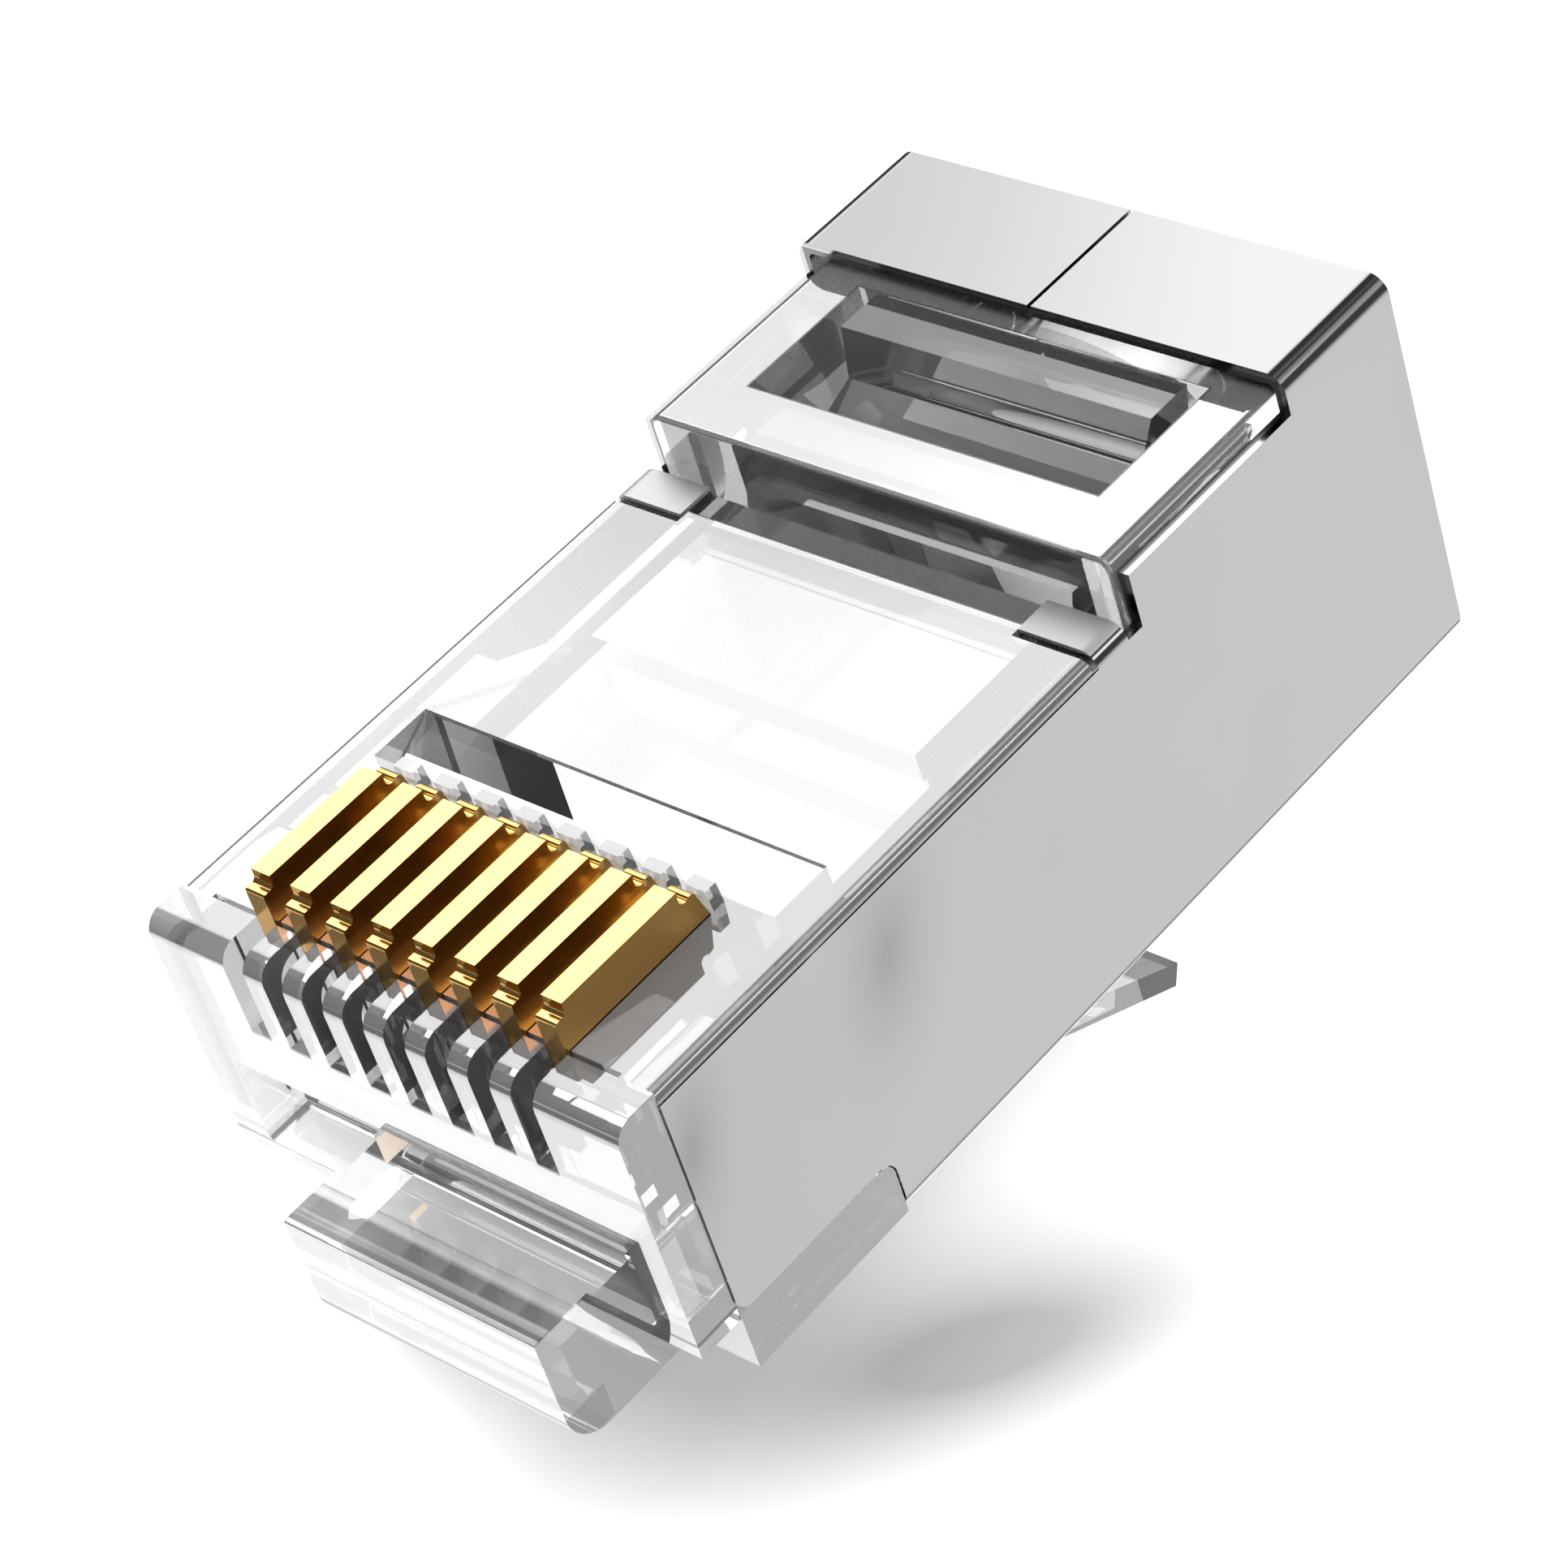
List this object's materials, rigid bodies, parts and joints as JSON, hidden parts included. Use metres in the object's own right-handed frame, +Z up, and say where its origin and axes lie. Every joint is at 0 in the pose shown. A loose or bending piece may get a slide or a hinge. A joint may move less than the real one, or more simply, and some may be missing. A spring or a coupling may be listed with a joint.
{
  "type": "rj45 modular plug",
  "caption": "Clear moulded modular plug in a folded metal shield, with gilt blade contacts standing proud before crimping, a sprung latch and an open cable entry.",
  "frame": {"origin": "on the resting plane, under the middle of the whole plug", "axes": "+X out of the nose, -Y out of the side with the contacts, +Y out of the latch side, +Z up from the side plate it lies on"},
  "size_m": [0.0232, 0.0144, 0.0117],
  "materials": {
    "clear_plastic": "clear polished polycarbonate",
    "shield_metal": "satin nickel plate with bright folds",
    "gold": "gold plate, polished"
  },
  "bodies": {
    "housing": {"plug_body": "clear_plastic", "shield": "shield_metal"},
    "latch": {"latch_lever": "clear_plastic"},
    "strain_relief": {"strain_relief_bar": "clear_plastic"},
    "anchor": {"conductor_anchor": "clear_plastic"},
    "contact_1": {"contact_1": "gold"},
    "contact_2": {"contact_2": "gold"},
    "contact_3": {"contact_3": "gold"},
    "contact_4": {"contact_4": "gold"},
    "contact_5": {"contact_5": "gold"},
    "contact_6": {"contact_6": "gold"},
    "contact_7": {"contact_7": "gold"},
    "contact_8": {"contact_8": "gold"}
  },
  "joints": [
    {"name": "latch_flex", "type": "hinge", "parent": "housing", "child": "latch", "pos_m": [0.00847, 0.00163, 0.00584], "axis": [0, 0, 1], "range_deg": [0, 13], "stiffness_Nm_per_rad": 0.19},
    {"name": "strain_relief_fold", "type": "hinge", "parent": "housing", "child": "strain_relief", "pos_m": [-0.00823, -0.00502, 0.00584], "axis": [0, 0, 1], "range_deg": [0, 25]},
    {"name": "conductor_anchor_press", "type": "slide", "parent": "housing", "child": "anchor", "axis": [0, 1, 0], "range_m": [0, 0.0007]},
    {"name": "contact_1_crimp", "type": "slide", "parent": "housing", "child": "contact_1", "axis": [0, 1, 0], "range_m": [0, 0.0015]},
    {"name": "contact_2_crimp", "type": "slide", "parent": "housing", "child": "contact_2", "axis": [0, 1, 0], "range_m": [0, 0.0015]},
    {"name": "contact_3_crimp", "type": "slide", "parent": "housing", "child": "contact_3", "axis": [0, 1, 0], "range_m": [0, 0.0015]},
    {"name": "contact_4_crimp", "type": "slide", "parent": "housing", "child": "contact_4", "axis": [0, 1, 0], "range_m": [0, 0.0015]},
    {"name": "contact_5_crimp", "type": "slide", "parent": "housing", "child": "contact_5", "axis": [0, 1, 0], "range_m": [0, 0.0015]},
    {"name": "contact_6_crimp", "type": "slide", "parent": "housing", "child": "contact_6", "axis": [0, 1, 0], "range_m": [0, 0.0015]},
    {"name": "contact_7_crimp", "type": "slide", "parent": "housing", "child": "contact_7", "axis": [0, 1, 0], "range_m": [0, 0.0015]},
    {"name": "contact_8_crimp", "type": "slide", "parent": "housing", "child": "contact_8", "axis": [0, 1, 0], "range_m": [0, 0.0015]}
  ]
}
